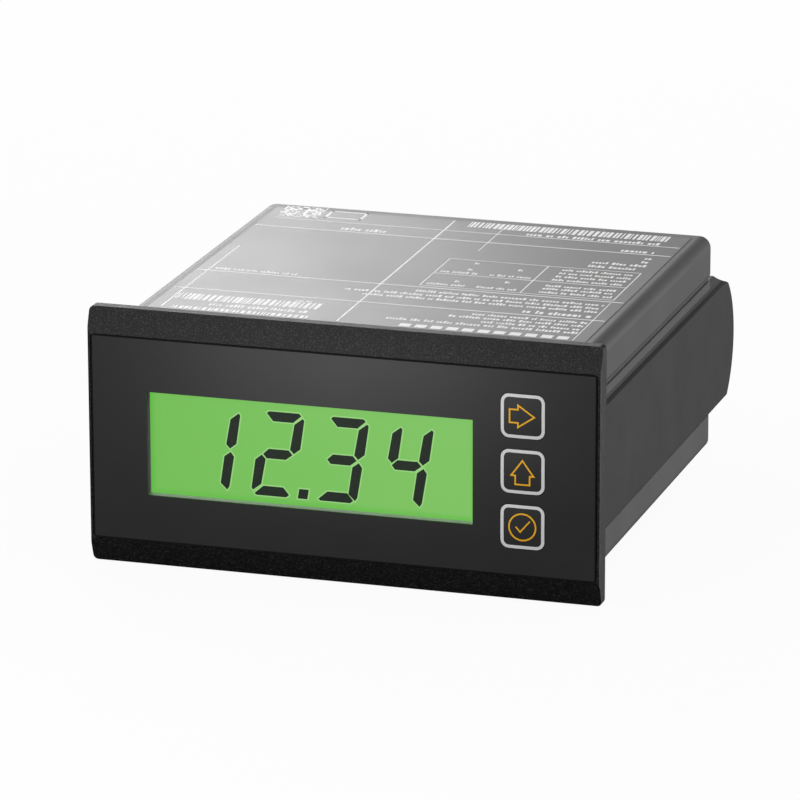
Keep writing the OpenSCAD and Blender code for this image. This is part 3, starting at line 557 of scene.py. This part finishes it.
# Rows of small marks: from x, to x, y and height
for number, (x0, x1, y, height) in enumerate((
    (10.7, 36.8, 78.9, 1.7), (-24.4, -15.4, 73.1, 1.9), (31.0, 38.0, 72.7, 1.8),
    (28.0, 38.4, 62.9, 1.5), (28.0, 38.4, 60.2, 1.5), (36.8, 38.4, 65.6, 1.5),
    (36.8, 38.4, 68.2, 1.5), (-10.5, 38.4, 32.0, 1.3), (2.3, 38.4, 34.4, 1.3),
    (-6.4, 38.4, 29.7, 1.3), (25.0, 38.4, 26.5, 1.9), (16.8, 38.4, 22.1, 1.3),
    (13.0, 38.4, 19.9, 1.3), (19.8, 38.4, 17.6, 1.3), (2.6, 38.6, 15.3, 1.4),
    (-38.0, -21.4, 38.8, 1.2), (-31.0, -12.1, 14.7, 1.6), (-16.6, -13.2, 21.5, 0.9),
)):
    marks(x0, x1, y, height, 60 + number)
piece("label_print", label_print, "meter", white_ink)


# ---- Panel clamps ----
# Two slides moulded in charcoal plastic. Their tongues run under the housing's
# lips, and their feet press on the panel from behind.
def clamp_look(wire):
    cloud = wire.grain(10.0)
    return {
        "Base Color": cloud.mix(grey(0.027), grey(0.032)),
        "Roughness": 0.40 + 0.08 * cloud,
        "Normal": wire.bump(wire.grain(FINE_GRAIN, detail=3.0), depth_mm=0.015, strength=0.5),
    }


paint(finish("clamp_plastic", clamp_look), "left_clamp", "right_clamp")


# ---- Display parts round and behind the cell ----
# An off-white moulded holder stands on the display board and presses the cell
# forward. Pink silicone strips connect the cell to the board, and a frosted
# light guide spreads the light of its LEDs.
def plain(name, dark, light, size_mm=4.0, **constants):
    """A quiet material: two close colours in soft blotches."""
    return finish(name, lambda wire: {"Base Color": wire.grain(size_mm).mix(dark, light)},
                  **constants)


paint(plain("frame_plastic", grey(0.62), grey(0.7), Roughness=0.5), "lcd_frame")
paint(plain("silicone", (0.7, 0.4, 0.45, 1), (0.8, 0.5, 0.55, 1), Roughness=0.7),
      "zebra_strips")
paint(plain("frosted_guide", (0.6, 0.8, 0.55, 1), (0.7, 0.88, 0.62, 1), Roughness=0.3),
      "light_guide")
paint(plain("led_package", (0.75, 0.75, 0.5, 1), (0.85, 0.85, 0.6, 1), Roughness=0.4),
      "backlight_leds")

# ---- Circuit boards and their parts ----
# Two glass-fibre boards with green resist, joined by a header. The display
# board carries the tact switches behind the keys, and the larger parts stand on
# the main board.
paint(plain("solder_resist", (0.012, 0.10, 0.035, 1), (0.02, 0.15, 0.05, 1), 6.0,
            Roughness=0.3), "display_board", "main_board")
paint(plain("moulded_black", grey(0.018), grey(0.026), Roughness=0.5),
      "tact_switches", "board_link", "microcontroller")
paint(plain("plunger_plastic", grey(0.4, 0.05), grey(0.46, 0.05), Roughness=0.5),
      "plunger_right", "plunger_up", "plunger_enter")
paint(plain("can_sleeve", (0.02, 0.035, 0.11, 1), (0.03, 0.05, 0.15, 1), Roughness=0.3),
      "capacitors")
paint(plain("lacquered_wire", (0.22, 0.09, 0.03, 1), (0.3, 0.13, 0.05, 1), 1.0,
            Roughness=0.35), "choke")
paint(plain("chip_body", grey(0.06), grey(0.09), Roughness=0.5), "resistors")

# ---- Screws, terminals and DIP switch ----
# Zinc-plated screws, with a cross recess in the board and the cover and a slot
# in the terminals. The green two-pole plug has a brass cage on each screw, which
# lifts it, and a red two-way slide switch sits beside the plug's socket.
paint(plain("zinc_steel", grey(0.5), grey(0.6), 2.0, Metallic=1.0, Roughness=0.35),
      "board_screws", "rear_screws", "terminal_screw_1", "terminal_screw_2")
paint(plain("terminal_green", (0.02, 0.13, 0.04, 1), (0.03, 0.17, 0.055, 1), Roughness=0.45),
      "terminal_socket", "terminal_plug")
paint(plain("cage_brass", (0.62, 0.5, 0.3, 1), (0.7, 0.58, 0.36, 1), 2.0, Metallic=1.0,
            Roughness=0.3), "wire_cage_1", "wire_cage_2")
paint(plain("dip_red", (0.3, 0.02, 0.012, 1), (0.38, 0.03, 0.018, 1), Roughness=0.4),
      "dip_switch")
paint(plain("slider_white", grey(0.65), grey(0.75), Roughness=0.4),
      "dip_slider_1", "dip_slider_2")

# ---- Studio ----
# A floor under the bezel's lower edge, white to the camera and dark to other
# rays. Soft lamps stand behind on the left, low on the right and weakly in
# front, and a small narrow one in front puts a sheen on the foil.
FLOOR_Z = cad_box[0][2] - 0.1 * MM
FLOOR_REACH = 6.0
FLOOR_WHITE = 0.94
floor_mesh = bmesh.new()
bmesh.ops.create_grid(floor_mesh, x_segments=1, y_segments=1, size=FLOOR_REACH,
                      matrix=Matrix.Translation((0, 0, FLOOR_Z)))
mesh = bpy.data.meshes.new("floor")
floor_mesh.to_mesh(mesh)
floor_mesh.free()
floor = bpy.data.objects.new("floor", mesh)
bpy.context.scene.collection.objects.link(floor)
floor_paint = bpy.data.materials.new("floor_paint")
floor_paint.use_nodes = True
tree = floor_paint.node_tree
tree.nodes.remove(tree.nodes["Principled BSDF"])
wire = Wire(tree)
camera_ray = wire.node("LightPath", out="Is Camera Ray")
lit = wire.node("BsdfDiffuse", {"Color": camera_ray.mix(grey(0.06), grey(0.85))})
white = wire.node("Emission", {"Color": grey(1.0), "Strength": 1.0})
# A Mix Shader's sockets: factor, first shader, second shader
mixed = wire.node("MixShader", {0: camera_ray * FLOOR_WHITE, 1: lit, 2: white})
tree.links.new(mixed.socket, tree.nodes["Material Output"].inputs["Surface"])
mesh.materials.append(floor_paint)

# The world is white to the camera and through glass, and AMBIENT to diffuse
# rays. Mirrors see it white behind the meter on its left, and as a dim room,
# ROOM, elsewhere.
AMBIENT = 0.6
ROOM = 0.03
BEHIND = (-0.2, 0.5)
ON_THE_LEFT = (0.05, -0.45)
world = bpy.data.worlds.new("studio")
bpy.context.scene.world = world
world.use_nodes = True
tree = world.node_tree
wire = Wire(tree)
camera_ray = wire.node("LightPath", out="Is Camera Ray")
mirror_ray = wire.node("LightPath", out="Is Glossy Ray")
through_ray = wire.node("LightPath", out="Is Transmission Ray")
direction = wire.node("TexCoord", out="Generated")
across = wire.node("SeparateXYZ", {"Vector": direction}, out="X")
depth = wire.node("SeparateXYZ", {"Vector": direction}, out="Y")
surround = depth.rise(*BEHIND) * across.rise(*ON_THE_LEFT)
seen = camera_ray.math("MAXIMUM", camera_ray, through_ray)
mirrored = mirror_ray * (ROOM + (1 - ROOM) * surround)
strength = seen + (1 - seen) * (AMBIENT * (1 - mirror_ray) + mirrored)
tree.links.new(strength.socket, tree.nodes["Background"].inputs["Strength"])
tree.nodes["Background"].inputs["Color"].default_value = grey(1.0)


def lamp(name, place, aim, size, power):
    """A rectangular lamp that faces its aim and is hidden from the camera."""
    light = bpy.data.lights.new(name, "AREA")
    light.shape = "RECTANGLE"
    light.size, light.size_y = size
    light.energy = power
    made = bpy.data.objects.new(name, light)
    made.location = place
    made.visible_camera = False
    made.rotation_euler = (Vector(aim) - Vector(place)).to_track_quat("-Z", "Y").to_euler()
    bpy.context.scene.collection.objects.link(made)
    return made


lamp("rear_left_softbox", place=(-0.55, 0.9, 0.4), aim=(0, 0.04, 0), size=(0.6, 0.5), power=4.2)
lamp("right_softbox", place=(0.8, 0.3, 0.03), aim=(0.04, 0.04, 0), size=(0.5, 0.09), power=7.2)
lamp("front_left_lamp", place=(-0.12, -0.35, 0.12), aim=(0, 0, 0), size=(0.15, 0.15), power=0.56)
sheen = lamp("front_sheen", place=(-0.046, -0.156, -0.016), aim=(0.003, 0, 0.021),
             size=(0.05, 0.012), power=0.0012)
sheen.data.spread = math.radians(26)

# ---- Camera ----
# A long lens about a metre away, above the meter and to its right. The meter's
# origin lies off the middle of the view by the two AIM values.
AZIMUTH, ELEVATION, ROLL = (math.radians(angle) for angle in (17.277, 16.469, -0.154))
DISTANCE = 1052.69 * MM
AIM_RIGHT, AIM_UP = -9.415 * MM, -9.265 * MM
SENSOR_WIDTH = 36.0
LENS = 264.23
SIGHT_END = 30.0
back = Vector((math.sin(AZIMUTH) * math.cos(ELEVATION),
               -math.cos(AZIMUTH) * math.cos(ELEVATION), math.sin(ELEVATION)))
right = (-back).cross(Vector((0, 0, 1))).normalized()
up = right.cross(-back)
turn = Matrix.Rotation(ROLL, 3, back)
right, up = turn @ right, turn @ up
eye = back * DISTANCE - right * AIM_RIGHT - up * AIM_UP
camera_data = bpy.data.cameras.new("camera")
camera_data.sensor_width = SENSOR_WIDTH
camera_data.lens = LENS
camera_data.clip_end = SIGHT_END
camera = bpy.data.objects.new("camera", camera_data)
camera.matrix_world = Matrix.Translation(eye) @ Matrix((right, up, back)).transposed().to_4x4()
bpy.context.scene.collection.objects.link(camera)
bpy.context.scene.camera = camera
bpy.context.scene.view_settings.view_transform = "Standard"
